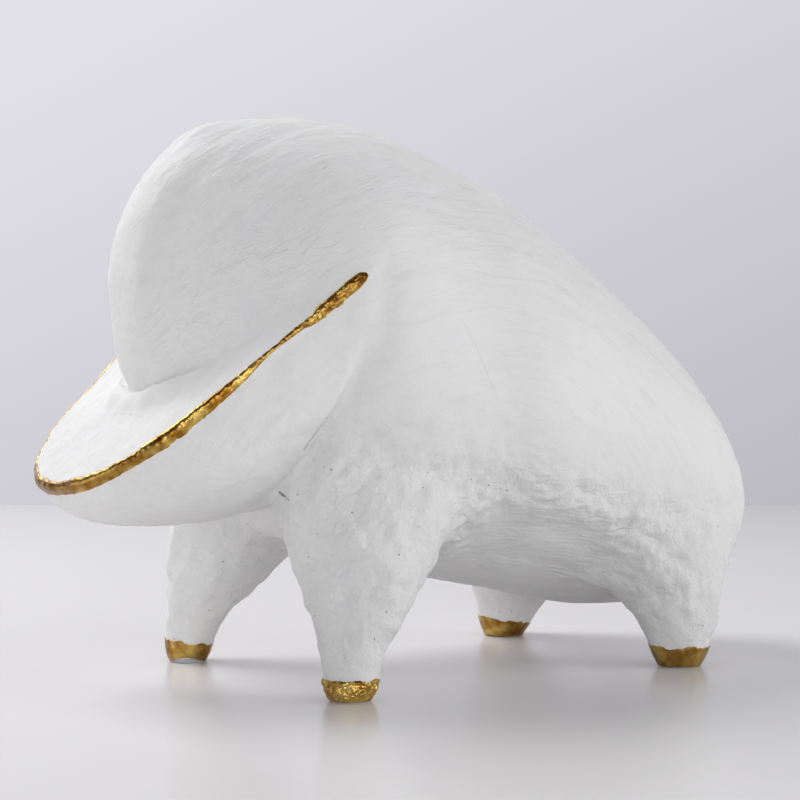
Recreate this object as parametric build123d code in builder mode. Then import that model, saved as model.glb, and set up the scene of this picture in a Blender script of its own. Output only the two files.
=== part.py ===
from build123d import *
import os
from math import cos, radians, sin, tan

os.makedirs("parts", exist_ok=True)

# The animal faces -X and stands on Z = 0, with its left side towards -Y.

# Body: one hollow casting from the brow to the rump
body_length = 253.5
body_width = 138.0
body_height = 190.0
body_wall = 8.0

# Snout dish: a solid jaw with a flat tilted face and a rolled rim
dish_reach = 24.0
dish_tip_height = 68.0
dish_slope = 41.0
dish_length = 126.0
dish_depth = 76.0
dish_nose_radius = 46.0
dish_nose_half_turn = 75.0
dish_corner_radius = 21.0
rim_roll_radius = 2.0
rim_roll_proud = 0.6

# Stance: where the soles stand
front_foot_behind_brow = 53.85
rear_foot_before_rump = 59.65
front_track_share = 0.80
rear_track_share = 0.76
front_track = front_track_share * body_width
rear_track = rear_track_share * body_width

# Front legs
front_leg_height = 83.0
front_sole_diameter = 14.0
front_thigh_length = 53.0
front_thigh_width = 53.0
front_lean_in = 28.7
front_lean_back = 14.0

# Rear legs
rear_leg_height = 68.6
rear_sole_diameter = 15.7
rear_thigh_length = 50.0
rear_thigh_width = 50.0
rear_lean_in = 32.0
rear_lean_back = 10.5

# Steel pins that carry the legs
pin_diameter = 6.0
front_pin_length = 66.0
rear_pin_length = 38.0
pin_clearance = 0.15
pin_hole_spare = 1.0

# Gold leaf, drawn thicker than real leaf so that it is a solid
leaf_thickness = 0.4
foot_leaf_height = 8.0

# Pads under the soles
pad_thickness = 1.2
pad_inset = 0.8
pad_edge = 0.4

# Pour hole in the belly and its plug
pour_hole_diameter = 24.0
pour_hole_behind_middle = 14.0
plug_clearance = 0.2

# How far cuts run past what they cut
overrun = 5.0

# Body sections: place along the body, half width, underside, widest level, top
body_section_shares = [
    (0.005, 0.126, 0.613, 0.690, 0.771),
    (0.024, 0.248, 0.531, 0.690, 0.845),
    (0.066, 0.431, 0.458, 0.686, 0.919),
    (0.135, 0.701, 0.376, 0.679, 0.978),
    (0.224, 0.933, 0.280, 0.653, 1.000),
    (0.323, 0.988, 0.207, 0.590, 0.993),
    (0.461, 0.994, 0.162, 0.509, 0.941),
    (0.599, 0.965, 0.118, 0.443, 0.846),
    (0.738, 0.904, 0.089, 0.391, 0.719),
    (0.854, 0.783, 0.089, 0.339, 0.582),
    (0.936, 0.569, 0.111, 0.303, 0.450),
    (0.978, 0.350, 0.155, 0.280, 0.362),
    (0.994, 0.169, 0.207, 0.266, 0.310),
]
body_nose_height_share = 0.686
body_rump_height_share = 0.260
cavity_start_share = 0.135
cavity_end_share = 0.854

# Jaw layers below the face: depth, setback of the tip along the face, width, length
dish_layer_shares = [
    (0.00, 0.016, 0.96, 1.00),
    (0.05, 0.000, 1.01, 1.00),
    (0.18, 0.007, 1.08, 0.94),
    (0.30, 0.044, 1.11, 0.84),
    (0.42, 0.115, 0.99, 0.70),
    (0.54, 0.204, 0.80, 0.64),
    (0.68, 0.328, 0.60, 0.64),
    (0.84, 0.480, 0.40, 0.68),
    (1.00, 0.630, 0.20, 0.78),
]

# Leg rings from the sole up: height, lean inwards, lean backwards, length, width
front_leg_ring_shares = [
    (0.00, 0.00, 0.00, 0.00, 0.00),
    (0.05, 0.01, 0.03, 0.07, 0.07),
    (0.16, 0.05, 0.14, 0.18, 0.18),
    (0.29, 0.17, 0.42, 0.41, 0.39),
    (0.46, 0.37, 0.84, 0.77, 0.68),
    (0.66, 0.63, 1.40, 1.25, 0.96),
    (0.80, 0.78, 2.00, 1.65, 1.00),
    (1.00, 1.00, 2.20, 1.80, 1.00),
]
rear_leg_ring_shares = [
    (0.00, 0.00, 0.00, 0.00, 0.00),
    (0.06, 0.02, 0.05, 0.13, 0.13),
    (0.20, 0.11, 0.20, 0.41, 0.39),
    (0.31, 0.22, 0.30, 0.66, 0.56),
    (0.49, 0.39, 0.25, 1.10, 0.80),
    (0.72, 0.65, 0.10, 1.50, 1.00),
    (1.00, 1.00, 0.00, 1.60, 1.00),
]

overall_length = body_length + dish_reach
nose_x = dish_reach - overall_length / 2
rump_x = overall_length / 2
front_foot_x = nose_x + front_foot_behind_brow
rear_foot_x = rump_x - rear_foot_before_rump


def body_section(section_shares, inset):
    """Egg-shaped section across the body, drawn in from the outside by inset."""
    along, half_width, underside, widest, top = section_shares
    level = widest * body_height
    reach_out = half_width * body_width / 2 - inset
    reach_up = (top - widest) * body_height - inset
    reach_down = (widest - underside) * body_height - inset
    with BuildSketch(Plane.YZ.offset(nose_x + along * body_length)) as section:
        with BuildLine():
            EllipticalCenterArc((0, level), reach_out, reach_up, start_angle=0, arc_size=180)
            EllipticalCenterArc((0, level), reach_out, reach_down, start_angle=180, arc_size=180)
        make_face()
    return section.sketch


# Outer form of the body, which the dish and the legs are coped to
body_nose = Vertex(nose_x, 0, body_nose_height_share * body_height)
body_rump = Vertex(rump_x, 0, body_rump_height_share * body_height)
outer_sections = [body_section(row, 0) for row in body_section_shares]
with BuildPart() as body_form:
    loft([body_nose, *outer_sections, body_rump])

# Cavity that the slush casting leaves inside the body
inner_rows = [row for row in body_section_shares if cavity_start_share <= row[0] <= cavity_end_share]
inner_sections = [body_section(row, body_wall) for row in inner_rows]
with BuildPart() as body_cavity:
    loft(inner_sections)


# Snout dish: jaw layers lofted below the flat face, with the rolled rim swept round its edge
face_plane = Plane(
    origin=(-overall_length / 2, 0, dish_tip_height),
    x_dir=(cos(radians(dish_slope)), 0, sin(radians(dish_slope))),
    z_dir=(-sin(radians(dish_slope)), 0, cos(radians(dish_slope))),
)


def dish_outline(setback, width, length):
    """Nose arc, straight sides that flare back from it, and rear corners that turn inwards."""
    turn = radians(dish_nose_half_turn)
    flare = radians(90) - turn
    nose = width * dish_nose_radius
    corner = width * dish_corner_radius
    side_start = setback + nose * (1 - cos(turn))
    side_end = length - corner * (1 + sin(flare))
    start_half_width = nose * sin(turn)
    end_half_width = start_half_width + (side_end - side_start) * tan(flare)
    corner_x = length - corner
    corner_y = end_half_width - corner * cos(flare)
    corner_turn = 180 - dish_nose_half_turn
    CenterArc((corner_x, corner_y), corner, 0, corner_turn)
    Line((side_end, end_half_width), (side_start, start_half_width))
    CenterArc((setback + nose, 0), nose, corner_turn, 2 * dish_nose_half_turn)
    Line((side_start, -start_half_width), (side_end, -end_half_width))
    CenterArc((corner_x, -corner_y), corner, -corner_turn, corner_turn)
    return corner_y


with BuildPart() as snout_dish:
    for depth, setback, width, length in dish_layer_shares:
        layer_length = length * dish_length
        with BuildSketch(face_plane.offset(-depth * dish_depth)):
            with BuildLine():
                rear = dish_outline(setback * dish_length, width, layer_length)
                Line((layer_length, -rear), (layer_length, rear))
            make_face()
    loft()

    with BuildLine(face_plane.offset(-rim_roll_radius)) as rim_path:
        rim_inset = rim_roll_radius - rim_roll_proud
        dish_outline(rim_inset, 1 - rim_inset / dish_nose_radius, dish_length)
    rim_wire = rim_path.wire()
    with BuildSketch(Plane(origin=rim_wire @ 0, z_dir=rim_wire % 0)):
        Circle(rim_roll_radius)
    sweep(path=rim_wire)
    add(body_form.part, mode=Mode.SUBTRACT)
snout_dish.part.label = "snout_dish"
export_step(snout_dish.part, "parts/snout_dish.step")

# Gold leaf over what shows of the rolled rim
with BuildPart() as rim_leaf:
    with BuildSketch(Plane(origin=rim_wire @ 0, z_dir=rim_wire % 0)):
        Circle(rim_roll_radius + leaf_thickness)
    sweep(path=rim_wire)
    add(body_form.part, mode=Mode.SUBTRACT)
    add(snout_dish.part, mode=Mode.SUBTRACT)
rim_leaf.part.label = "rim_leaf"
export_step(rim_leaf.part, "parts/rim_leaf.step")


# Legs: each one is lofted whole, then coped to the body and the jaw
def leg_center(leg, ring_shares, side):
    """Middle of one ring of a leg; side is -1 for the animal's left and 1 for its right."""
    height, lean_in, lean_back = ring_shares[:3]
    return (
        leg["foot_x"] + lean_back * leg["lean_back"],
        side * (leg["track"] / 2 - lean_in * leg["lean_in"]),
        pad_thickness + height * leg["height"],
    )


def leg_form(leg, side, grown):
    """Whole leg from the sole up into the body, with its rings grown outwards."""
    with BuildPart() as form:
        for ring_shares in leg["ring_shares"]:
            x, y, z = leg_center(leg, ring_shares, side)
            length, width = ring_shares[3:]
            half_length = (leg["sole"] + length * (leg["thigh_length"] - leg["sole"])) / 2
            half_width = (leg["sole"] + width * (leg["thigh_width"] - leg["sole"])) / 2
            with BuildSketch(Plane.XY.offset(z)):
                with Locations((x, y)):
                    Ellipse(half_length + grown, half_width + grown)
        loft()
    return form.part


def pin_plane(leg, side):
    """Plane at the lower end of a leg's pin, which follows the middle of the leg."""
    low = Vector(leg_center(leg, leg["pin_low"], side))
    high = Vector(leg_center(leg, leg["pin_high"], side))
    return Plane(origin=low, z_dir=high - low)


front_leg = {
    "foot_x": front_foot_x,
    "track": front_track,
    "height": front_leg_height,
    "sole": front_sole_diameter,
    "thigh_length": front_thigh_length,
    "thigh_width": front_thigh_width,
    "lean_in": front_lean_in,
    "lean_back": front_lean_back,
    "ring_shares": front_leg_ring_shares,
    "pin_low": front_leg_ring_shares[2],
    "pin_high": front_leg_ring_shares[5],
    "pin_length": front_pin_length,
}
rear_leg = {
    "foot_x": rear_foot_x,
    "track": rear_track,
    "height": rear_leg_height,
    "sole": rear_sole_diameter,
    "thigh_length": rear_thigh_length,
    "thigh_width": rear_thigh_width,
    "lean_in": rear_lean_in,
    "lean_back": rear_lean_back,
    "ring_shares": rear_leg_ring_shares,
    "pin_low": rear_leg_ring_shares[2],
    "pin_high": rear_leg_ring_shares[5],
    "pin_length": rear_pin_length,
}
legs = {
    "front_left": (front_leg, -1),
    "front_right": (front_leg, 1),
    "rear_left": (rear_leg, -1),
    "rear_right": (rear_leg, 1),
}
for name, (leg, side) in legs.items():
    form = leg_form(leg, side, 0)
    seat = pin_plane(leg, side)

    with BuildPart() as leg_casting:
        add(form)
        add(body_form.part, mode=Mode.SUBTRACT)
        add(snout_dish.part, mode=Mode.SUBTRACT)
        with BuildSketch(seat.offset(-pin_hole_spare)):
            Circle(pin_diameter / 2 + pin_clearance)
        extrude(amount=leg["pin_length"] + overrun, mode=Mode.SUBTRACT)
    leg_casting.part.label = f"{name}_leg"
    export_step(leg_casting.part, f"parts/{name}_leg.step")

    with BuildPart() as foot_leaf:
        add(leg_form(leg, side, leaf_thickness))
        add(form, mode=Mode.SUBTRACT)
        split(bisect_by=Plane.XY.offset(foot_leaf_height), keep=Keep.BOTTOM)
    foot_leaf.part.label = f"{name}_foot_leaf"
    export_step(foot_leaf.part, f"parts/{name}_foot_leaf.step")

    with BuildPart() as foot_pad:
        with BuildSketch():
            with Locations((leg["foot_x"], side * leg["track"] / 2)):
                Circle(leg["sole"] / 2 - pad_inset)
        extrude(amount=pad_thickness)
        chamfer(foot_pad.faces().sort_by(Axis.Z)[0].edges(), pad_edge)
    foot_pad.part.label = f"{name}_foot_pad"
    export_step(foot_pad.part, f"parts/{name}_foot_pad.step")

# Steel pins, a pair for the front legs and a shorter pair for the rear legs
for name, leg in (("front", front_leg), ("rear", rear_leg)):
    with BuildPart() as leg_pins:
        for side in (-1, 1):
            with BuildSketch(pin_plane(leg, side)):
                Circle(pin_diameter / 2)
            extrude(amount=leg["pin_length"])
    leg_pins.part.label = f"{name}_leg_pins"
    export_step(leg_pins.part, f"parts/{name}_leg_pins.step")

# Body shell: the outer form less its cavity, the pour hole and the pin holes
pour_plane = Plane.XY.offset(-overrun)
pour_x = pour_hole_behind_middle
pour_depth = overrun + body_height / 2
with BuildPart() as body_shell:
    add(body_form.part)
    add(body_cavity.part, mode=Mode.SUBTRACT)
    with BuildSketch(pour_plane):
        with Locations((pour_x, 0)):
            Circle(pour_hole_diameter / 2)
    extrude(amount=pour_depth, mode=Mode.SUBTRACT)
    for leg, side in legs.values():
        with BuildSketch(pin_plane(leg, side)):
            Circle(pin_diameter / 2 + pin_clearance)
        extrude(amount=leg["pin_length"] + pin_hole_spare, mode=Mode.SUBTRACT)
body_shell.part.label = "body_shell"
export_step(body_shell.part, "parts/body_shell.step")

# Plug: fills the pour hole flush with the belly and with the cavity
with BuildPart() as pour_plug:
    with BuildSketch(pour_plane):
        with Locations((pour_x, 0)):
            Circle(pour_hole_diameter / 2 - plug_clearance)
    extrude(amount=pour_depth)
    add(body_form.part, mode=Mode.INTERSECT)
    add(body_cavity.part, mode=Mode.SUBTRACT)
pour_plug.part.label = "pour_plug"
export_step(pour_plug.part, "parts/pour_plug.step")
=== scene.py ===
import math

import bmesh
import bpy
import numpy as np
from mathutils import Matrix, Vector, noise
from mathutils.bvhtree import BVHTree


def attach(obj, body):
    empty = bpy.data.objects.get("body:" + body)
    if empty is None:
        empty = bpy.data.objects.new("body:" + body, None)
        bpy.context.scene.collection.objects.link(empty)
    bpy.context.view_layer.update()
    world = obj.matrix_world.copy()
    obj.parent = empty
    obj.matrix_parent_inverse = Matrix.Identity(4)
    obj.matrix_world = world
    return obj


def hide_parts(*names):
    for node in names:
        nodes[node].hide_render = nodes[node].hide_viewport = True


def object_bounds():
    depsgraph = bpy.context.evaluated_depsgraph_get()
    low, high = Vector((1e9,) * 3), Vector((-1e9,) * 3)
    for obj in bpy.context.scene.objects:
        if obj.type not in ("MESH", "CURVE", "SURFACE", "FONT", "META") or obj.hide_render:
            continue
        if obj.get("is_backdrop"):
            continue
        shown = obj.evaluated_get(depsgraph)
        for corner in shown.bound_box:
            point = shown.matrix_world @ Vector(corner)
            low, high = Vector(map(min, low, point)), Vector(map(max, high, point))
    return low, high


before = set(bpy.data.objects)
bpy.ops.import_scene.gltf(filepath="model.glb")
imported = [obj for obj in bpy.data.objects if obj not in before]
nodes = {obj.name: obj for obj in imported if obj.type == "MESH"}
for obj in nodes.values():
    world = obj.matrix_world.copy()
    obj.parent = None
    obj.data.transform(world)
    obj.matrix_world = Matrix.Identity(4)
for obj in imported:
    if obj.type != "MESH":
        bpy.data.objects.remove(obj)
cad_low, cad_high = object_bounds()


# The castings as one rough skin: body shell, snout dish, four legs and the plug in the belly.
# They are cast in stone-filled polyester resin, pinned and glued together, so the skin is taken
# round all of them at once and the inside of the hollow body is left out of it.
mm = 0.001
skin_grid = 1.2 * mm
casting_names = [
    "body_shell",
    "snout_dish",
    "front_left_leg",
    "front_right_leg",
    "rear_left_leg",
    "rear_right_leg",
]
closing_names = ["pour_plug", "front_leg_pins", "rear_leg_pins"]

rough = bmesh.new()
for name in casting_names + closing_names:
    rough.from_mesh(nodes[name].data)
rough_mesh = bpy.data.meshes.new("rough_castings")
rough.to_mesh(rough_mesh)
rough.free()
rough_castings = bpy.data.objects.new("rough_castings", rough_mesh)
bpy.context.scene.collection.objects.link(rough_castings)
remesh = rough_castings.modifiers.new("one_skin", "REMESH")
remesh.mode = "VOXEL"
remesh.voxel_size = skin_grid
remesh.adaptivity = 0
skin_mesh = bpy.data.meshes.new_from_object(
    rough_castings.evaluated_get(bpy.context.evaluated_depsgraph_get())
)
bpy.data.objects.remove(rough_castings)

skin = bmesh.new()
skin.from_mesh(skin_mesh)
start = max(skin.verts, key=lambda vert: vert.co.z)
outside, waiting = {start}, [start]
while waiting:
    vert = waiting.pop()
    for edge in vert.link_edges:
        other = edge.other_vert(vert)
        if other not in outside:
            outside.add(other)
            waiting.append(other)
inside = [vert for vert in skin.verts if vert not in outside]
bmesh.ops.delete(skin, geom=inside, context="VERTS")
bmesh.ops.recalc_face_normals(skin, faces=skin.faces)
skin.to_mesh(skin_mesh)
skin.free()

points = np.empty(len(skin_mesh.vertices) * 3)
skin_mesh.vertices.foreach_get("co", points)
points = points.reshape(-1, 3)
quads = np.empty(len(skin_mesh.loops), np.int64)
skin_mesh.loops.foreach_get("vertex_index", quads)
quads = quads.reshape(-1, 4)
edges = np.empty(len(skin_mesh.edges) * 2, np.int64)
skin_mesh.edges.foreach_get("vertices", edges)
edges = edges.reshape(-1, 2)
edge_ends = np.concatenate([edges[:, 0], edges[:, 1]])
edge_starts = np.concatenate([edges[:, 1], edges[:, 0]])
edge_count = np.bincount(edge_ends, minlength=len(points))[:, None]


# The filler: putty pressed into the hollows where the legs and the dish meet the body.
# It is resin putty wiped with a wet thumb, so it leaves wide soft hollows at the legs, a softer
# one round the foot of the brow and a tight one under the jaw. The castings' own swell stays.
leg_fill_reach, leg_fill_rounds = 24 * mm, 480
brow_fill_reach, brow_fill_rounds = 5 * mm, 10
cheek_fill_reach, cheek_fill_rounds = 13 * mm, 80
jaw_fill_reach, jaw_fill_rounds = 4 * mm, 6
dish_clear_reach = 9 * mm
fill_share, rounds_to_a_look = 0.9, 6
face_skim = 3 * mm
cheek_start, cheek_full = 12 * mm, 30 * mm
wipe_rounds, wipe_give, wipe_back = 7, 0.5, -0.52
dish_slope = math.radians(41)
dish_tip = np.array([-138.75, 0, 68]) * mm
face_along = np.array([math.cos(dish_slope), 0, math.sin(dish_slope)])
face_up = np.array([-math.sin(dish_slope), 0, math.cos(dish_slope)])


def soft_step(values, low, high):
    """0 below low, 1 above high and a smooth rise between them."""
    share = np.clip((values - low) / (high - low), 0, 1)
    return share * share * (3 - 2 * share)


def near(distance, reach):
    """1 at no distance, fading away over that reach."""
    return np.exp(-((distance / reach) ** 2))


def spread(values):
    """Mean of each skin point's neighbours."""
    sums = [np.bincount(edge_ends, column[edge_starts], len(values)) for column in values.T]
    return np.stack(sums, 1) / edge_count


def outward(places):
    """Unit normal of the skin at each of its points."""
    first, second, third, fourth = (places[quads[:, corner]] for corner in range(4))
    face = np.cross(third - first, fourth - second)
    sums = [
        sum(np.bincount(quads[:, corner], column, len(places)) for corner in range(4)) for column in face.T
    ]
    total = np.stack(sums, 1)
    return total / np.maximum(np.linalg.norm(total, axis=1, keepdims=True), 1e-12)


def node_distance(name, places):
    """Distance from each place to the surface of one of the solids."""
    data = nodes[name].data
    corners = [vert.co for vert in data.vertices]
    tree = BVHTree.FromPolygons(corners, [face.vertices for face in data.polygons])
    return np.array([tree.find_nearest(place)[3] for place in places.tolist()])


casting_distance = np.stack([node_distance(name, points) for name in casting_names], 1)
body_distance, dish_distance = casting_distance[:, 0], casting_distance[:, 1]
leg_distance = casting_distance[:, 2:].min(1)
above_face = (points - dish_tip) @ face_up > -face_skim
leg_putty = near(np.maximum(leg_distance, body_distance), leg_fill_reach)
leg_putty *= 1 - near(dish_distance, dish_clear_reach)
dish_joint = np.maximum(dish_distance, body_distance)
cheek_share = soft_step(np.abs(points[:, 1]), cheek_start, cheek_full)
brow_putty = near(dish_joint, brow_fill_reach) * above_face * (1 - cheek_share)
cheek_putty = near(dish_joint, cheek_fill_reach) * above_face * cheek_share
jaw_putty = near(dish_joint, jaw_fill_reach) * ~above_face

for fill_round in range(leg_fill_rounds):
    if fill_round % rounds_to_a_look == 0:
        normals = outward(points)
        putty = leg_putty.copy()
        if fill_round < brow_fill_rounds:
            putty += brow_putty
        if fill_round < cheek_fill_rounds:
            putty += cheek_putty
        if fill_round < jaw_fill_rounds:
            putty += jaw_putty
        putty = fill_share * np.minimum(putty, 1)
    hollow = np.sum((spread(points) - points) * normals, axis=1)
    points = points + (putty * np.maximum(hollow, 0))[:, None] * normals
for wipe in range(wipe_rounds):
    for give in (wipe_give, wipe_back):
        points = points + give * (spread(points) - points)


# The coat's modelling: brow edge, jaw crease, flank arch, lumps, trowel marks and rough filler.
# The maker works a thick plaster-like coat over the castings with thumb, trowel and stiff brush,
# so no stretch is quite even, and the arch between the legs is left rough.
brow_back, brow_low, brow_top = (-100 * mm, -66 * mm), (84 * mm, 104 * mm), (156 * mm, 184 * mm)
brow_lip, brow_lip_reach = 0.55 * mm, 4.5 * mm
cheek_flat, cheek_fore, cheek_aft = 1.1 * mm, (1 * mm, 9 * mm), (10 * mm, 32 * mm)
brow_foot, brow_foot_reach = 3.6 * mm, 5.5 * mm
crease_reach, crease_depth = 5 * mm, 2.2 * mm
crease_top, crease_top_loss = (103 * mm, 118 * mm), 0.55
jaw_lip, jaw_lip_reach, jaw_blend = 0.9 * mm, 8 * mm, (-2 * mm, 2 * mm)
arch_cut, arch_lip, arch_lip_reach = 2.4 * mm, 0.5 * mm, 5 * mm
arch_inward, arch_waver, arch_waver_width = [0.25, 0.62, -0.74], 1.2 * mm, 10 * mm
arch_start, arch_rise, arch_fade = (0, 5 * mm), (1 * mm, 16 * mm), (24 * mm, 48 * mm)
arch_fore, arch_rough_reach = (-13 * mm, 8 * mm), 11 * mm
belly_rise, belly_fore, belly_aft = 1.8 * mm, (-10 * mm, 30 * mm), (85 * mm, 110 * mm)
leg_reach, leg_rough_reach, jaw_dent_reach = 16 * mm, (1 * mm, 7 * mm), 10 * mm
lump_width, lump_height = 34 * mm, 0.7 * mm
dab_width, dab_height = 12 * mm, 0.65 * mm
dent_width, dent_height = 6.5 * mm, 0.8 * mm
back_middle = (-10 * mm, 20 * mm)
streak_turn, streak_width, streak_height = math.radians(11), 3.6 * mm, 0.3 * mm
rough_width, rough_height = 6.5 * mm, 1.35 * mm
plug_middle, plug_radius, plug_line, plug_depth = (14 * mm, 0), 12 * mm, 1.1 * mm, 0.3 * mm
skin_clear = 0.05 * mm
sole_level, plain_foot = 1.2 * mm, (2 * mm, 24 * mm)
# Half width of the brow's front strip, by height, in millimetres
brow_edge = [(93, 11), (117, 9), (133, 9.5), (149, 10.5), (162, 12), (176, 13)]
# Routes of the brow's foot, the jaw crease and the arch, in millimetres: given on the left side
# and mirrored to the right, as the thumbed-on dabs are
brow_foot_line = [(-98, -21, 101.5), (-104, -17, 98), (-109, -10, 95), (-110.5, -2, 94.3), (-110.5, 0, 94.3)]
crease_line = [
    (-52, -66, 136),
    (-54.5, -65.6, 126),
    (-55.8, -64.7, 114),
    (-63, -56, 97),
    (-70.5, -43.6, 81),
    (-74, -40, 69),
]
arch_line = [
    (-13, -50, 56),
    (-4, -58, 63),
    (19, -62, 62),
    (39, -59, 55),
    (60, -53, 43),
    (70, -57, 27),
    (71, -58, 14),
]
# Thumbed-on dabs: place, reach and height in millimetres
thumb_dabs = [
    ((-112, 0, 106), 10, 0.9),
    ((-84, -2, 183), 9, 1.3),
    ((-92, 2, 176), 5, -0.9),
    ((-58, -66, 108), 9, 0.8),
    ((-48, -62, 60), 8, 0.7),
    ((-57.5, -62.7, 45), 6, 1.0),
    ((-48.5, -65, 41.5), 5, 1.1),
    ((-55.4, -65.8, 37), 3.2, -1.5),
    ((-55, -66, 30.5), 3, -1.3),
    ((-68.5, -55.5, 35.5), 5, 0.9),
    ((-64.4, -60.7, 32.6), 6, -0.9),
    ((-51.5, -65.5, 33), 4.2, 1.2),
    ((-52.9, -65.3, 24), 4.2, 1.3),
    ((-54.5, -64.8, 18.5), 3, -1.1),
    ((60, -38, 25), 13, 3.6),
    ((91, -40, 24), 11, 3.4),
]


def uneven(places, width, octaves):
    """Fractal unevenness of about that width, near -1 to 1."""
    return np.array([noise.fractal(place, 0.9, 2.1, octaves) for place in (places / width).tolist()])


def to_line(places, line):
    """Vector from the nearest point of a line, given in millimetres, to each place."""
    line = np.array(line, float) * mm
    nearest = np.full(places.shape, 1.0)
    for low, high in zip(line[:-1], line[1:]):
        run = high - low
        share = np.clip((places - low) @ run / (run @ run), 0, 1)
        reach = places - low - share[:, None] * run
        closer = np.linalg.norm(reach, axis=1) < np.linalg.norm(nearest, axis=1)
        nearest[closer] = reach[closer]
    return nearest


normals = outward(points)
x, y, z = points.T
left_side = points * [1, 0, 1] - np.abs(points) * [0, 1, 0]

edge_gap = np.abs(y) - np.interp(z / mm, *zip(*brow_edge)) * mm
on_brow = (1 - soft_step(x, *brow_back)) * soft_step(z, *brow_low) * (1 - soft_step(z, *brow_top))
cheek = soft_step(edge_gap, *cheek_fore) * (1 - soft_step(edge_gap, *cheek_aft))
brow = on_brow * (brow_lip * near(edge_gap, brow_lip_reach) - cheek_flat * cheek)
foot_gap = np.linalg.norm(to_line(left_side, brow_foot_line), axis=1)
brow += brow_foot * near(foot_gap, brow_foot_reach) * soft_step(normals[:, 2], -0.1, 0.4)

crease_gap = np.linalg.norm(to_line(left_side, crease_line), axis=1)
jaw_side = soft_step(body_distance - dish_distance, *jaw_blend)
crease = crease_depth * near(crease_gap, crease_reach) * (1 - jaw_side)
crease -= jaw_lip * near(crease_gap, jaw_lip_reach) * jaw_side
crease *= 1 - crease_top_loss * soft_step(z, *crease_top)

# The number added to the places starts each unevenness somewhere else
from_arch = to_line(left_side, arch_line)
arch_gap = np.linalg.norm(from_arch, axis=1)
under = from_arch @ arch_inward + arch_waver * uneven(points + 0.9, arch_waver_width, 2)
arch_under = soft_step(under, *arch_start) * soft_step(arch_gap, *arch_rise)
arch_under *= (1 - soft_step(arch_gap, *arch_fade)) * soft_step(x, *arch_fore)
belly = soft_step(-normals[:, 2], 0.7, 0.97) * soft_step(x, *belly_fore) * (1 - soft_step(x, *belly_aft))

on_leg = near(leg_distance, leg_reach)
lumps = lump_height * uneven(points, lump_width, 2)
lumps += dab_height * uneven(points + 0.3, dab_width, 2) * (0.3 + on_leg)
dented = np.clip(0.08 + on_leg + 0.25 * near(dish_distance, jaw_dent_reach), 0, 1)
dents = dent_height * uneven(points + 0.5, dent_width, 3) * dented
from_middle = np.hypot(x - back_middle[0], z - back_middle[1])
turn = np.arctan2(x - back_middle[0], z - back_middle[1])
stroke_frame = np.stack([turn / streak_turn, y / streak_width, from_middle / streak_width], 1)
upward = soft_step(normals[:, 2], -0.05, 0.7)
streaks = streak_height * uneven(stroke_frame, 1, 2) * (0.25 + 0.75 * upward)
rough_share = near(arch_gap + np.maximum(under, 0), arch_rough_reach)
rough_share = np.clip(rough_share + 0.35 * (1 - soft_step(leg_distance, *leg_rough_reach)), 0, 1)
rough_filler = rough_height * uneven(points + 0.7, rough_width, 3) * rough_share
plug_gap = np.abs(np.hypot(x - plug_middle[0], y - plug_middle[1]) - plug_radius)
plug_ring = near(plug_gap, plug_line) * (normals[:, 2] < -0.5)

lift = brow - crease + lumps + dents + streaks + rough_filler
lift += arch_lip * near(arch_gap, arch_lip_reach) - arch_cut * arch_under
lift -= belly_rise * belly + plug_depth * plug_ring
for middle, reach, height in thumb_dabs:
    lift += height * mm * near(np.linalg.norm(left_side - np.array(middle) * mm, axis=1), reach * mm)
lift *= soft_step(z, *plain_foot)
points = points + lift[:, None] * normals
points = np.clip(points, np.array(cad_low) + skin_clear, np.array(cad_high) - skin_clear)
points[:, 2] = np.maximum(points[:, 2], sole_level)
normals = outward(points)
skin_tree = BVHTree.FromPolygons(points.tolist(), quads.tolist())


# White coat: thick matte acrylic plaster paint, brushed on in two passes over the filler.
# It is chalky and scatters light evenly; the eye finds brush grain along the back, scratchy
# flecks on top, pits on the legs, pinholes and a few hairlines.
def linear(code):
    """Linear colour of an sRGB hex value."""
    parts = [int(code[place : place + 2], 16) / 255 for place in (0, 2, 4)]
    return [part / 12.92 if part <= 0.04045 else ((part + 0.055) / 1.055) ** 2.4 for part in parts] + [1]


def new_material(name):
    material = bpy.data.materials.new(name)
    material.use_nodes = True
    return material, material.node_tree.nodes["Principled BSDF"]


def add_node(holder, kind, settings, links):
    """Adds a node to a material or world, and sets its properties and its inputs or their links."""
    node = holder.node_tree.nodes.new(kind)
    for key, value in settings.items():
        setattr(node, key, value)
    for key, value in links.items():
        if isinstance(value, bpy.types.NodeSocket):
            holder.node_tree.links.new(value, node.inputs[key])
        else:
            node.inputs[key].default_value = value
    return node.outputs


stroke_turn, stroke_width = math.radians(12), 2.3 * mm
belly_stroke_length = 34 * mm
fleck_turn, fleck_width = math.radians(4.5), 2.2 * mm
pit_width, grain_width = 2.4 * mm, 0.7 * mm
worked_patch, tint_patch = 26 * mm, 30 * mm
pinhole_spacing, pinhole_radius, pinhole_depth = 4.6 * mm, 0.34 * mm, 0.3 * mm
hairline_waver = 2.5 * mm
line_turn = math.radians(33.6)
# Hairlines, seen along the turn of the line: depth and painted shade in the crack, width and route in
# millimetres
hairlines = [
    (0.10, 0.22, [(-25.3, -67.7, 120.5), (-19.7, -68.1, 111), (-11.5, -67.8, 94.9)]),
    (0.35, 0.22, [(-67.4, -52.5, 90), (-69, -49.2, 85.5)]),
    (0.5, 0.3, [(-69, -49.2, 85.5), (-70.2, -46.2, 82.2), (-71, -44.6, 79.8)]),
    (0.9, 0.5, [(-76.2, -37.4, 65.6), (-74.6, -38.2, 64.4)]),
    (0.6, 0.3, [(-74.6, -38.2, 64.4), (-73.4, -38.8, 63.4)]),
]
coat, shader = new_material("matte_plaster_coat")
place = add_node(coat, "ShaderNodeTexCoord", {}, {})["Object"]
facing_up, roughness, brushed = [
    add_node(coat, "ShaderNodeAttribute", {"attribute_name": label}, {})["Fac"]
    for label in ("facing_up", "roughness", "brushed")
]

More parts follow.
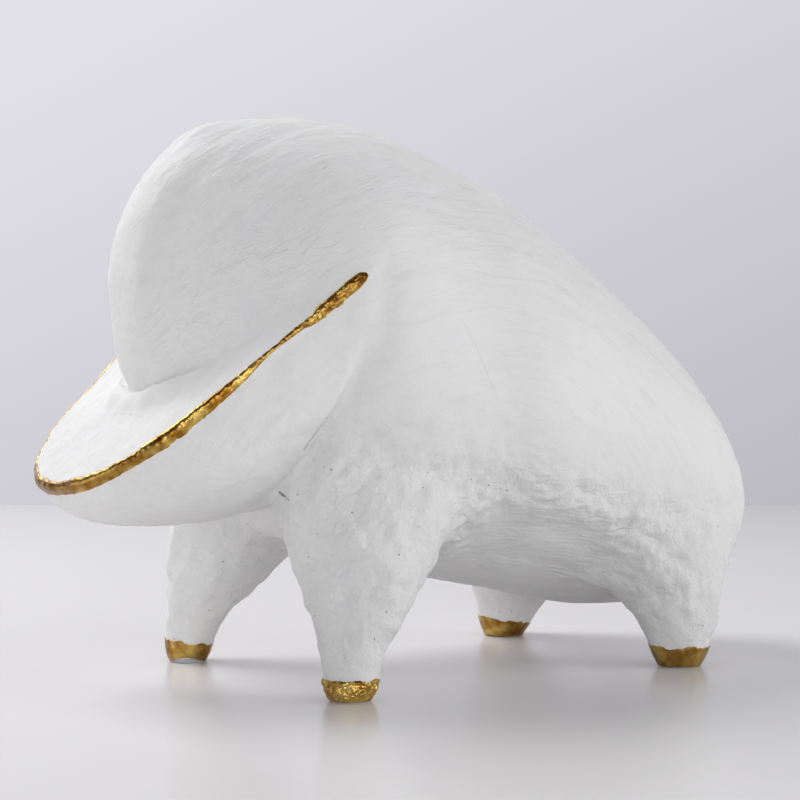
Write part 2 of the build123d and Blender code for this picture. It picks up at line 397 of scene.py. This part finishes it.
middle = (back_middle[0], 0, back_middle[1])
from_back = add_node(coat, "ShaderNodeVectorMath", {"operation": "SUBTRACT"}, {0: place, 1: middle})[0]
flat = add_node(coat, "ShaderNodeVectorMath", {"operation": "MULTIPLY"}, {0: from_back, 1: (1, 0, 1)})[0]
radius = add_node(coat, "ShaderNodeVectorMath", {"operation": "LENGTH"}, {0: flat})["Value"]
parts = add_node(coat, "ShaderNodeSeparateXYZ", {}, {0: from_back})
angle = add_node(coat, "ShaderNodeMath", {"operation": "ARCTAN2"}, {0: parts["X"], 1: parts["Z"]})[0]
round_back = add_node(coat, "ShaderNodeCombineXYZ", {}, {"X": angle, "Y": parts["Y"], "Z": radius})[0]

# Marks of the work: where they run, size along the three axes there, and detail. Real grain is
# finer than the render can show, so it is drawn as coarse as its width above.
marks = {}
for label, start, size, detail in (
    ("back strokes", round_back, (stroke_turn, 2 * stroke_width, stroke_width), 4),
    ("belly strokes", place, (belly_stroke_length, stroke_width, stroke_width), 4),
    ("flecks", round_back, (fleck_turn, 2 * fleck_width, fleck_width), 4),
    ("pits", place, (pit_width,) * 3, 5),
    ("grain", place, (grain_width,) * 3, 2),
    ("worked patches", place, (worked_patch,) * 3, 1),
    ("tint patches", place, (tint_patch,) * 3, 1),
):
    scale = tuple(1 / length for length in size)
    scaled = add_node(coat, "ShaderNodeMapping", {}, {"Vector": start, "Scale": scale})[0]
    drawn_out = {"Vector": scaled, "Scale": 1, "Detail": detail, "Roughness": 0.62, "Distortion": 0.7}
    marks[label] = add_node(coat, "ShaderNodeTexNoise", {}, drawn_out)["Fac"]

# Shares of the marks: what they are read from, its low and high, and the shares there
hole_size = pinhole_radius / pinhole_spacing
shares = {}
for label, value, low, high, low_share, high_share in (
    ("below", facing_up, -0.15, -0.45, 0, 1),
    ("on top", facing_up, -0.3, 0.6, 0.2, 1),
    ("flecks", marks["flecks"], 0.58, 0.8, 0, 1),
    ("worked", marks["worked patches"], 0.4, 0.62, 0.3, 1.0),
    ("holes filled", roughness, 0.2, 0.9, hole_size, 0),
    ("left side", parts["Y"], -1 * mm, 0, 1, 0),
):
    limits = {"Value": value, "From Min": low, "From Max": high, "To Min": low_share, "To Max": high_share}
    shares[label] = add_node(coat, "ShaderNodeMapRange", {}, limits)[0]
strokes = {"Factor": shares["below"], "A": marks["back strokes"], "B": marks["belly strokes"]}
strokes = add_node(coat, "ShaderNodeMix", {}, strokes)[0]

# Relief of the coat: mark, the shares that thin it out, and its height in millimetres
height = 0
for mark, thinned_by, rise in (
    (strokes, (shares["worked"], brushed), 1),
    (shares["flecks"], (shares["on top"], brushed), 0.4),
    (marks["pits"], (roughness,), 0.9),
    (marks["grain"], (), 0.10),
):
    for share in thinned_by:
        mark = add_node(coat, "ShaderNodeMath", {"operation": "MULTIPLY"}, {0: mark, 1: share})[0]
    added = {0: mark, 1: rise, 2: height}
    height = add_node(coat, "ShaderNodeMath", {"operation": "MULTIPLY_ADD"}, added)[0]
worked = add_node(coat, "ShaderNodeBump", {}, {"Height": height, "Distance": 1 * mm, "Strength": 1})[0]

# Pinholes and hairline cracks: sunk into the relief, and given dark painted shade in the coat's colour
holes = {"Vector": place, "Scale": 1 / pinhole_spacing}
holes = add_node(coat, "ShaderNodeTexVoronoi", {}, holes)["Distance"]
holes = add_node(coat, "ShaderNodeMath", {"operation": "ADD"}, {0: holes, 1: shares["holes filled"]})[0]
sunk_and_painted_shade = {"Value": holes, "From Min": 0.5 * hole_size, "From Max": hole_size, "To Min": 1, "To Max": 0}
sunk_and_painted_shade = add_node(coat, "ShaderNodeMapRange", {}, sunk_and_painted_shade)[0]
waver = {"Vector": place, "Scale": 1 / hairline_waver, "Detail": 2}
waver = add_node(coat, "ShaderNodeTexNoise", {}, waver)["Color"]
waver = {0: waver, 1: (mm, 0, mm), 2: place}
waver = add_node(coat, "ShaderNodeVectorMath", {"operation": "MULTIPLY_ADD"}, waver)[0]
turned = {"Vector": waver, "Angle": line_turn}
turned = add_node(coat, "ShaderNodeVectorRotate", {"rotation_type": "Z_AXIS"}, turned)[0]
wavering = add_node(coat, "ShaderNodeVectorMath", {"operation": "MULTIPLY"}, {0: turned, 1: (1, 0, 1)})[0]
for crack_depth_and_shade, width, line in hairlines:
    line = [
        Vector((x * math.cos(line_turn) - y * math.sin(line_turn), 0, z)) * mm for x, y, z in line
    ]
    for low, high in zip(line[:-1], line[1:]):
        run = high - low
        reach = add_node(coat, "ShaderNodeVectorMath", {"operation": "SUBTRACT"}, {0: wavering, 1: low})[0]
        along = {0: reach, 1: run / run.length_squared}
        along = add_node(coat, "ShaderNodeVectorMath", {"operation": "DOT_PRODUCT"}, along)["Value"]
        share = add_node(coat, "ShaderNodeClamp", {}, {"Value": along})[0]
        foot = add_node(coat, "ShaderNodeVectorMath", {"operation": "SCALE"}, {0: run, "Scale": share})[0]
        gap = add_node(coat, "ShaderNodeVectorMath", {"operation": "DISTANCE"}, {0: reach, 1: foot})["Value"]
        crack = {"Value": gap, "From Min": 0.4 * width * mm, "From Max": width * mm}
        crack |= {"To Min": crack_depth_and_shade, "To Max": 0}
        crack = add_node(coat, "ShaderNodeMapRange", {}, crack)[0]
        crack = {0: crack, 1: shares["left side"]}
        crack = add_node(coat, "ShaderNodeMath", {"operation": "MULTIPLY"}, crack)[0]
        sunk_and_painted_shade = add_node(coat, "ShaderNodeMath", {"operation": "MAXIMUM"}, {0: sunk_and_painted_shade, 1: crack})[0]
pitted = {"Height": sunk_and_painted_shade, "Distance": pinhole_depth, "Strength": 1, "Normal": worked}
pitted = add_node(coat, "ShaderNodeBump", {"invert": True}, pitted)[0]

# Painted shade: the coat's colour is a little darker in the hollows of the brush strokes
painted_shade_in_strokes = {"Value": strokes, "From Min": 0.3, "From Max": 0.5, "To Min": 0.35, "To Max": 0}
painted_shade_in_strokes = add_node(coat, "ShaderNodeMapRange", {}, painted_shade_in_strokes)[0]
# Coat colour: random tint patches, then painted shade in the stroke hollows, then dark painted shade in the
# pinholes and hairline cracks
tint = linear("EFEFED")
for share, code in ((marks["tint patches"], "EAEAEB"), (painted_shade_in_strokes, "DFDEDC"), (sunk_and_painted_shade, "8A867F")):
    tint = {"Factor": share, 6: tint, 7: linear(code)}
    tint = add_node(coat, "ShaderNodeMix", {"data_type": "RGBA"}, tint)[2]
coat.node_tree.links.new(tint, shader.inputs["Base Color"])
coat.node_tree.links.new(pitted, shader.inputs["Normal"])
shader.inputs["Roughness"].default_value = 0.7
shader.inputs["Specular IOR Level"].default_value = 0.35


# Pieces of the coated skin, one to each casting, each closed behind the joint that the filler hides.
# They carry how far they face up, how rough the filler is left and how hard the brush was worked.
closing_inset, joint_wipes = 2.5 * mm, 12
brow_brushed, dish_plain, belly_brushed = (45 * mm, 90 * mm), (1 * mm, 8 * mm), (-30 * mm, -5 * mm)
least_brushed, jaw_rough_reach, jaw_rough_level = 0.18, 6 * mm, 90 * mm
back_brushed = np.maximum(0.8 * upward, soft_step(-x, *brow_brushed)) * soft_step(dish_distance, *dish_plain)
under_brushed = soft_step(-normals[:, 2], 0.15, 0.5) * soft_step(x, *belly_brushed)
coat_brushed = np.maximum(least_brushed + (1 - least_brushed) * back_brushed, under_brushed)
jaw_rough = near(dish_distance, jaw_rough_reach) * (z < jaw_rough_level)
coat_roughness = np.clip(0.16 + 0.5 * on_leg + 0.6 * rough_share + 0.35 * jaw_rough, 0, 1)
coat_attributes = {"facing_up": normals[:, 2], "roughness": coat_roughness, "brushed": coat_brushed}
soft_distance = casting_distance.copy()
for joint_wipe in range(joint_wipes):
    soft_distance = spread(soft_distance)
owner = soft_distance[quads].mean(1).argmin(1)
for index, name in enumerate(casting_names):
    own = quads[owner == index]
    sides = np.concatenate([own[:, [corner, (corner + 1) % 4]] for corner in range(4)])
    key = sides.min(1) * len(points) + sides.max(1)
    _, first, count = np.unique(key, return_index=True, return_counts=True)
    rim = sides[first[count == 1]]
    group = {}
    for low, high in rim.tolist():
        merged = group.get(low, {low}) | group.get(high, {high})
        for vert in merged:
            group[vert] = merged
    rings = {id(ring): sorted(ring) for ring in group.values()}
    edge = np.unique(rim)
    inset = {vert: len(points) + number for number, vert in enumerate(edge.tolist())}
    middles = {ring: len(points) + len(edge) + number for number, ring in enumerate(rings)}
    closing = [(high, low, inset[low], inset[high]) for low, high in rim.tolist()]
    closing += [(inset[high], inset[low], middles[id(group[low])]) for low, high in rim.tolist()]
    ring_points = [points[ring].mean(0) for ring in rings.values()]
    ring_points = np.concatenate([points[edge] - closing_inset * normals[edge], ring_points])
    all_points = np.concatenate([points, ring_points])
    all_normals = np.concatenate([normals, np.tile([0.0, 0, 1], (len(ring_points), 1))])
    faces = own.tolist() + closing
    used = sorted({vert for face in faces for vert in face})
    packed = {vert: number for number, vert in enumerate(used)}
    data = bpy.data.meshes.new(name + "_skin")
    data.from_pydata(all_points[used].tolist(), [], [[packed[vert] for vert in face] for face in faces])
    data.shade_smooth()
    data.normals_split_custom_set_from_vertices(all_normals[used].tolist())
    for label, values in coat_attributes.items():
        values = np.concatenate([values, np.zeros(len(ring_points))])[used]
        data.attributes.new(label, "FLOAT", "POINT").data.foreach_set("value", values)
    data.materials.append(coat)
    piece = bpy.data.objects.new(name + "_skin", data)
    bpy.context.scene.collection.objects.link(piece)
    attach(piece, "root")
    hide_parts(name, *(["pour_plug"] if index == 0 else []))


# Gold leaf on the rolled rim of the dish: imitation leaf, a thin brass foil laid on size.
# It is pressed round the roll in overlapping scraps, so its edges are ragged, it is thin in the
# middle of each side and wide and crumbled near the brow, and small creases run across it.
roll_radius, roll_inset = 2.0 * mm, 1.4 * mm
nose_radius, nose_half_turn = 46 * mm, math.radians(75)
side_length = 74 * mm
leaf_start, rim_step, rim_rows = 2.2 * mm, 0.4 * mm, 22
leaf_lift, leaf_sink, edge_hold = 0.24 * mm, 0.25 * mm, 0.2
tear_length, tear_below, tear_above = 7 * mm, 1.4, 1.1
# Facets of crumpled foil: size and share. Their tilts would be drawn by the clock if no seed were set
facets, facet_seed = ((2.6 * mm, 1.0), (1.2 * mm, 0.45)), 7
facet_stride, facet_rise, crease_sharpness, deepest_fold = 7.3, 0.4, 4, -0.1
noise.seed_set(facet_seed)
# By distance along the rim from the near brow, in millimetres: leaf above and below the roll's middle, tear
# and creases in millimetres, and share of painted dark reflection
leaf_runs = [
    (2.2, 1.0, 0.4, 0.1, 0.10, 1.0),
    (3.6, 2.0, 1.2, 0.2, 0.16, 1.0),
    (8, 2.6, 2.6, 0.7, 0.38, 0.65),
    (16, 2.8, 3.6, 0.9, 0.42, 0.75),
    (22, 2.6, 3.0, 0.9, 0.36, 0.5),
    (27, 2.2, 0.9, 0.4, 0.12, 0.35),
    (32, 2.0, 0.1, 0.2, 0.06, 0.6),
    (43, 2.0, -0.2, 0.2, 0.06, 0.55),
    (54, 2.4, 1.4, 0.2, 0.04, 0.15),
    (66, 3.0, 3.4, 0.3, 0.04, 0.0),
    (84, 3.2, 3.6, 0.4, 0.05, 0.1),
    (87, 3.1, 1.9, 0.4, 0.06, 0.5),
    (108, 3.4, 2.8, 0.6, 0.06, 0.6),
    (132, 3.6, 3.0, 0.6, 0.07, 0.75),
    (156, 3.2, 2.4, 0.5, 0.08, 0.6),
    (180, 2.8, 1.5, 0.8, 0.10, 0.3),
    (200, 2.7, 1.0, 1.1, 0.12, 0.3),
    (222, 3.1, 1.2, 1.3, 0.14, 0.3),
    (250, 2.7, 3.0, 0.8, 0.25, 0.5),
    (258, 2.4, 1.4, 0.5, 0.20, 0.5),
    (262, 1.0, 0.4, 0.1, 0.10, 1.0),
]


def make_piece(name, node, material, verts, faces):
    """Makes a smooth piece that rides the root in place of a solid, and gives its mesh back."""
    data = bpy.data.meshes.new(name)
    data.from_pydata([tuple(vert) for vert in verts], [], faces)
    data.shade_smooth()
    data.materials.append(material)
    piece = bpy.data.objects.new(name, data)
    bpy.context.scene.collection.objects.link(piece)
    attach(piece, "root")
    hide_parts(node)
    return data


def leaf_faces(stations, rows, closed):
    """Faces of a leaf with an upper and an under side, both stations by rows, sewn round their edges."""
    under = stations * rows
    last = rows - 1
    end = (stations - 1) * rows
    faces = []
    for station in range(stations if closed else stations - 1):
        here, there = station * rows, (station + 1) % stations * rows
        below_here, below_there = under + here, under + there
        for row in range(last):
            after = row + 1
            faces.append((here + row, there + row, there + after, here + after))
            faces.append((below_here + row, below_here + after, below_there + after, below_there + row))
        faces.append((here, below_here, below_there, there))
        faces.append((here + last, there + last, below_there + last, below_here + last))
    if not closed:
        for row in range(last):
            faces.append((row, row + 1, under + row + 1, under + row))
            faces.append((end + row, under + end + row, under + end + row + 1, end + row + 1))
    return faces


def crumpled(spot):
    """Height of crumpled foil: facets of two sizes, tilted at random between sharp creases."""
    height = 0
    for facet, share in facets:
        gaps, middles = noise.voronoi(spot / facet)
        tilt = noise.noise_vector(middles[0] * facet_stride)
        crease = min(1, crease_sharpness * (gaps[1] - gaps[0]))
        height += share * crease * (facet_rise + tilt.dot(spot / facet - middles[0]))
    return max(height, deepest_fold)


# The foil is bright warm metal: the eye gets small broken glints. Brown laid into its colour is painted dark
# reflection.
# Its real wrinkles are finer than the render can show, so they are drawn 0.9 mm wide.
mottle_width, crinkle_width, crinkle_height = 4.5 * mm, 0.9 * mm, 0.15 * mm
gold, shader = new_material("imitation_gold_leaf")
place = add_node(gold, "ShaderNodeTexCoord", {}, {})["Object"]
mottle = {"Vector": place, "Scale": 1 / mottle_width, "Detail": 3}
mottle = add_node(gold, "ShaderNodeTexNoise", {}, mottle)["Fac"]
# The foil is lighter in random patches
lighter_mottle = add_node(gold, "ShaderNodeMapRange", {}, {"Value": mottle, "From Min": 0.35, "From Max": 0.62})[0]
painted_dark_reflection = add_node(gold, "ShaderNodeAttribute", {"attribute_name": "painted_dark_reflection"}, {})["Fac"]
leaf_colour = linear("94651F")
# Painted dark reflection: brown mixed into the foil's colour where the attribute says
for share, code in ((lighter_mottle, "DABA68"), (painted_dark_reflection, "7A5220")):
    leaf_colour = {"Factor": share, 6: leaf_colour, 7: linear(code)}
    leaf_colour = add_node(gold, "ShaderNodeMix", {"data_type": "RGBA"}, leaf_colour)[2]
crinkle = {"Vector": place, "Scale": 1 / crinkle_width, "Detail": 3, "Distortion": 0.8}
crinkle = add_node(gold, "ShaderNodeTexNoise", {}, crinkle)["Fac"]
crinkled = {"Height": crinkle, "Distance": crinkle_height, "Strength": 1}
crinkled = add_node(gold, "ShaderNodeBump", {}, crinkled)[0]
gold.node_tree.links.new(leaf_colour, shader.inputs["Base Color"])
gold.node_tree.links.new(crinkled, shader.inputs["Normal"])
shader.inputs["Metallic"].default_value = 1
shader.inputs["Roughness"].default_value = 0.24

arc_radius = nose_radius - roll_inset
flare = math.pi / 2 - nose_half_turn
arc_length = 2 * nose_half_turn * arc_radius
rim_length = 2 * side_length + arc_length
stations = int(rim_length / rim_step)
quarter = math.pi / 2
run_places, *run_columns = zip(*leaf_runs)
verts, unders, dark_reflection_shares = [], [], []
for travel in np.linspace(leaf_start, rim_length - leaf_start, stations):
    side = -1 if travel < rim_length / 2 else 1
    past_arc = abs(travel - rim_length / 2) - arc_length / 2
    turn = min(nose_half_turn, nose_half_turn + past_arc / arc_radius)
    past_arc = max(past_arc, 0)
    s = nose_radius - arc_radius * math.cos(turn) + past_arc * math.cos(flare)
    t = side * (arc_radius * math.sin(turn) + past_arc * math.sin(flare))
    roll_middle = dish_tip + s * face_along + np.array([0, t, 0]) - roll_radius * face_up
    aside = -math.cos(turn) * face_along + np.array([0, side * math.sin(turn), 0])
    above, below, tear, crumple, dark_reflection_share = [
        np.interp(travel / mm, run_places, column) for column in run_columns
    ]
    wander = travel / tear_length
    below += tear * tear_below * noise.fractal((wander, 3.1, 0), 0.7, 2.2, 5)
    above += tear * tear_above * noise.fractal((wander, 7.7, 0), 0.8, 2.2, 4)
    for row, reach in enumerate(np.linspace(-below, above, rim_rows)):
        bend = max(reach * mm / roll_radius, -quarter)
        drop = max(0, -reach * mm - quarter * roll_radius)
        round_roll = math.cos(bend) * aside + math.sin(bend) * face_up
        target = roll_middle + roll_radius * round_roll - drop * face_up
        spot, normal, _, _ = skin_tree.find_nearest(target)
        hold = min(1, edge_hold + row / 3, edge_hold + (rim_rows - 1 - row) / 3)
        verts.append(spot + normal * (leaf_lift + crumple * mm * crumpled(spot)) * hold)
        unders.append(spot - normal * leaf_sink)
        # Painted dark reflection, strongest along the middle of the band
        dark_reflection_shares.append(dark_reflection_share * (1 - (2 * row / (rim_rows - 1) - 1) ** 2))
faces = leaf_faces(stations, rim_rows, False)
data = make_piece("rim_gold_leaf", "rim_leaf", gold, verts + unders, faces)
data.attributes.new("painted_dark_reflection", "FLOAT", "POINT").data.foreach_set("value", dark_reflection_shares + dark_reflection_shares)


# Gold leaf on the feet: the same foil pressed up round each foot and tucked under its sole.
# Its upper edge is torn, and on the front left foot it is crumpled hard into facets.
foot_steps, foot_rows = 240, 34
near_side, fore_side = math.atan2(-0.83, -0.55), math.atan2(0.55, -0.83)
tuck_level, tuck_height, tuck_share = 0.35 * mm, 0.8 * mm, 0.5
foot_reach, dark_reflection_width = 25 * mm, 4 * mm
tear_ring, tear_gap, tear_share = 1.7, 5.0, 1.5
# Foot: middle, leaf height, its rise to the fore side, tear, crumple and lift of its lower edge in
# millimetres, and share of painted dark reflection
feet = {
    "front_left": ((-60.9, -55.2), 7.1, 0.0, 0.6, 0.85, 0.0, 0.0),
    "front_right": ((-60.9, 55.2), 7.5, 1.2, 0.7, 0.12, 1.7, 0.2),
    "rear_left": ((79.1, -52.44), 7.2, 0.4, 0.8, 0.22, 0.0, 0.6),
    "rear_right": ((79.1, 52.44), 6.6, 1.6, 0.9, 0.24, 0.0, 0.5),
}
for number, (name, (middle, height, rise, tear, crumple, lift, dark_reflection_share)) in enumerate(feet.items()):
    verts, unders, dark_reflection_shares = [], [], []
    for step in range(foot_steps):
        turn = 2 * math.pi * step / foot_steps
        ray = Vector((math.cos(turn), math.sin(turn), 0))
        ring = Vector((tear_ring * math.cos(turn), tear_ring * math.sin(turn), tear_gap * number))
        torn = noise.fractal(ring, 0.8, 2.3, 4)
        top_edge = (height + rise * math.cos(turn - fore_side) + tear_share * tear * torn) * mm
        facing = max(0, math.cos(turn - near_side)) ** 3
        low_edge = tuck_level + lift * facing * mm
        for row in range(foot_rows):
            level = low_edge + (top_edge - low_edge) * row / (foot_rows - 1)
            hub = Vector((middle[0] * mm, middle[1] * mm, max(level, sole_level + tuck_height)))
            spot, _, _, _ = skin_tree.ray_cast(hub + ray * foot_reach, -ray, foot_reach)
            spot = Vector((spot.x, spot.y, level))
            tucked = tuck_share * max(0, sole_level + tuck_height - level)
            hold = min(1, row / 2, (foot_rows - 1 - row) / 3)
            verts.append(spot + ray * (leaf_lift + crumple * mm * crumpled(spot) * hold - tucked))
            unders.append(spot - ray * (leaf_sink + tucked))
            # Painted dark reflection, patchy round the foot
            dark_reflection_shares.append(dark_reflection_share * (0.8 + 0.6 * noise.noise(spot / dark_reflection_width)))
    faces = leaf_faces(foot_steps, foot_rows, True)
    data = make_piece(
        name + "_foot_gold_leaf", name + "_foot_leaf", gold, verts + unders, faces
    )
    data.attributes.new("painted_dark_reflection", "FLOAT", "POINT").data.foreach_set("value", dark_reflection_shares + dark_reflection_shares)


# Pads under the soles: discs punched from pale self-adhesive foam.
# The punch leaves a slightly waisted edge, and the weight squeezes the lower rim outwards.
pad_height, pad_steps = 1.2 * mm, 72
pad_radius = {"front": 6.2 * mm, "rear": 7.05 * mm}
# Profile from the top down: share of the radius, and level in millimetres
pad_profile = [(0.9, 1.2), (0.985, 1.08), (0.965, 0.7), (1.0, 0.3), (0.96, 0.04), (0.9, 0.0)]

# The foam gives the eye a dull, faintly speckled edge. Its cells are drawn coarse, so that they show.
cell_width, cell_depth = 0.35 * mm, 0.08 * mm
foam, shader = new_material("pale_foam_pad")
place = add_node(foam, "ShaderNodeTexCoord", {}, {})["Object"]
cells = add_node(foam, "ShaderNodeTexVoronoi", {}, {"Vector": place, "Scale": 1 / cell_width})["Distance"]
foam_colour = {"Factor": cells, 6: linear("DAD9DC"), 7: linear("C4C3C8")}
foam_colour = add_node(foam, "ShaderNodeMix", {"data_type": "RGBA"}, foam_colour)[2]
foam_cells = add_node(foam, "ShaderNodeBump", {}, {"Height": cells, "Distance": cell_depth})[0]
foam.node_tree.links.new(foam_colour, shader.inputs["Base Color"])
foam.node_tree.links.new(foam_cells, shader.inputs["Normal"])
shader.inputs["Roughness"].default_value = 0.85

for name, (middle, *_) in feet.items():
    radius = pad_radius[name.split("_")[0]]
    verts = [(middle[0] * mm, middle[1] * mm, pad_height), (middle[0] * mm, middle[1] * mm, 0)]
    for share, level in pad_profile:
        for turn in np.arange(pad_steps) * 2 * math.pi / pad_steps:
            across, deep = share * radius * math.cos(turn), share * radius * math.sin(turn)
            verts.append((middle[0] * mm + across, middle[1] * mm + deep, level * mm))
    faces = []
    last = 2 + (len(pad_profile) - 1) * pad_steps
    for step in range(pad_steps):
        after = (step + 1) % pad_steps
        faces.append((0, 2 + step, 2 + after))
        for upper in range(2, last, pad_steps):
            lower = upper + pad_steps
            faces.append((upper + step, lower + step, lower + after, upper + after))
        faces.append((1, last + after, last + step))
    make_piece(name + "_foam_pad", name + "_foot_pad", foam, verts, faces)


# Leg pins: bright drawn steel rod, cut to length and glued into the leg and the body.
# They are hidden. Drawing leaves fine lines along the rod, which streak its shine; they are
# drawn coarser than real ones so that they show.
line_width, line_length = 0.3 * mm, 12 * mm
steel, shader = new_material("drawn_steel_rod")
place = add_node(steel, "ShaderNodeTexCoord", {}, {})["Object"]
lines = {"Vector": place, "Scale": (1 / line_width, 1 / line_width, 1 / line_length)}
lines = add_node(steel, "ShaderNodeMapping", {}, lines)[0]
drawn = add_node(steel, "ShaderNodeTexNoise", {}, {"Vector": lines, "Scale": 1, "Detail": 2})["Fac"]
gloss = add_node(steel, "ShaderNodeMapRange", {}, {"Value": drawn, "To Min": 0.25, "To Max": 0.45})[0]
steel.node_tree.links.new(gloss, shader.inputs["Roughness"])
shader.inputs["Base Color"].default_value = linear("B9BABC")
shader.inputs["Metallic"].default_value = 1
for name in ("front_leg_pins", "rear_leg_pins"):
    nodes[name].data.materials.clear()
    nodes[name].data.materials.append(steel)


# Stage: a pale table top in satin lacquer, whose far edge shows, and a pale wall behind it. The lacquer
# gives the eye a soft mirror image of the feet. The wall is painted light: it glows by itself though it is
# no lamp, and sends no light to the animal, so its slow fade is set apart from the lamps.
yaw, pitch = math.radians(33.6), math.radians(-0.4)
eye = Vector((-0.3969, -0.5894, 0.0994))
ground = Vector((eye.x, eye.y, 0))
ahead = Vector((math.sin(yaw), math.cos(yaw), 0))
right = Vector((math.cos(yaw), -math.sin(yaw), 0))
table_start, table_reach, wall_reach, half_width = -1.5, 1.67, 2.6, 3.0
wall_foot, wall_head = Vector((0, 0, -2)), Vector((0, 0, 2))
fade_aside, fade_up, fade_low, fade_high = -18.2, 36.8, -20, 28
room_level, mirrored_room_level = 0.34, 0.16


def stage_plane(name, material, corners):
    data = bpy.data.meshes.new(name)
    data.from_pydata(corners, [], [list(range(len(corners)))])
    data.materials.append(material)
    plane = bpy.data.objects.new(name, data)
    bpy.context.scene.collection.objects.link(plane)
    plane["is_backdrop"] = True
    return plane


table_top, shader = new_material("satin_table_top")
shader.inputs["Base Color"].default_value = linear("E8E6E6")
shader.inputs["Roughness"].default_value = 0.23
table_near, table_far = ground + table_start * ahead, ground + table_reach * ahead
stage_plane(
    "table",
    table_top,
    [
        table_near - half_width * right,
        table_near + half_width * right,
        table_far + half_width * right,
        table_far - half_width * right,
    ],
)

wall_glow, shader = new_material("glowing_wall_painted_light")
# Painted light: the wall's glow is lighter towards its upper left and darker towards its lower right
place = add_node(wall_glow, "ShaderNodeTexCoord", {}, {})["Object"]
fall = {0: place, 1: (fade_aside * right.x, fade_aside * right.y, fade_up)}
fall = add_node(wall_glow, "ShaderNodeVectorMath", {"operation": "DOT_PRODUCT"}, fall)["Value"]
painted_light_fade = {"Value": fall, "From Min": fade_low, "From Max": fade_high}
painted_light_fade = add_node(wall_glow, "ShaderNodeMapRange", {}, painted_light_fade)[0]
wall_glow_colour = {"Factor": painted_light_fade, 6: linear("B2B1B7"), 7: linear("E2E1E8")}
wall_glow_colour = add_node(wall_glow, "ShaderNodeMix", {"data_type": "RGBA"}, wall_glow_colour)[2]
wall_glow.node_tree.links.new(wall_glow_colour, shader.inputs["Emission Color"])
shader.inputs["Emission Strength"].default_value = 1
shader.inputs["Base Color"].default_value = linear("000000")
shader.inputs["Specular IOR Level"].default_value = 0
wall_left = ground + wall_reach * ahead - half_width * right
wall_right = ground + wall_reach * ahead + half_width * right
wall = stage_plane(
    "wall",
    wall_glow,
    [wall_left + wall_foot, wall_right + wall_foot, wall_right + wall_head, wall_left + wall_head],
)
wall.visible_diffuse = False

world = bpy.data.worlds.new("pale_room")
world.use_nodes = True
mirrored = add_node(world, "ShaderNodeLightPath", {}, {})["Is Glossy Ray"]
level = {"Value": mirrored, "To Min": room_level, "To Max": mirrored_room_level}
level = add_node(world, "ShaderNodeMapRange", {}, level)[0]
room = world.node_tree.nodes["Background"]
room.inputs["Color"].default_value = linear("E0E0E6")
world.node_tree.links.new(level, room.inputs["Strength"])
bpy.context.scene.world = world


# Lamps: soft boxes of white cloth, the largest behind the animal's right shoulder, one to its left
# rear, one in front, and a small white card low before the snout.
# Place, aim, width and height in metres, and power in watts
for name, place, aim, size, power in (
    ("back_box", (-0.4, 0.8, 1.1), (-0.05, 0.02, 0.07), (0.9, 0.9), 14.6),
    ("right_box", (1.0, -0.85, 0.5), (0, 0, 0.1), (0.9, 0.9), 7.6),
    ("front_box", (-0.5, -1.35, 0.3), (0, 0, 0.06), (0.9, 0.5), 4.6),
    ("low_card", (-0.5, 0.1, 0.06), (-0.05, 0.02, 0.07), (0.42, 0.14), 0.3),
):
    lamp = bpy.data.lights.new(name, "AREA")
    lamp.shape = "RECTANGLE"
    lamp.size, lamp.size_y = size
    lamp.energy = power
    box = bpy.data.objects.new(name, lamp)
    box.location = place
    box.rotation_euler = (Vector(aim) - Vector(place)).to_track_quat("-Z", "Y").to_euler()
    bpy.context.scene.collection.objects.link(box)


# Camera: level with the animal's flank, a little ahead of its left side, on a long lens.
# The view is plain sRGB, and the bounds of the shown pieces are taken at the end.
lens = bpy.data.cameras.new("photo_camera")
lens.lens, lens.sensor_width = 90, 36
camera = bpy.data.objects.new("photo_camera", lens)
camera.location = eye
camera.rotation_euler = (math.radians(90) + pitch, 0, -yaw)
bpy.context.scene.collection.objects.link(camera)
bpy.context.scene.camera = camera
bpy.context.scene.view_settings.view_transform = "Standard"

low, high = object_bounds()
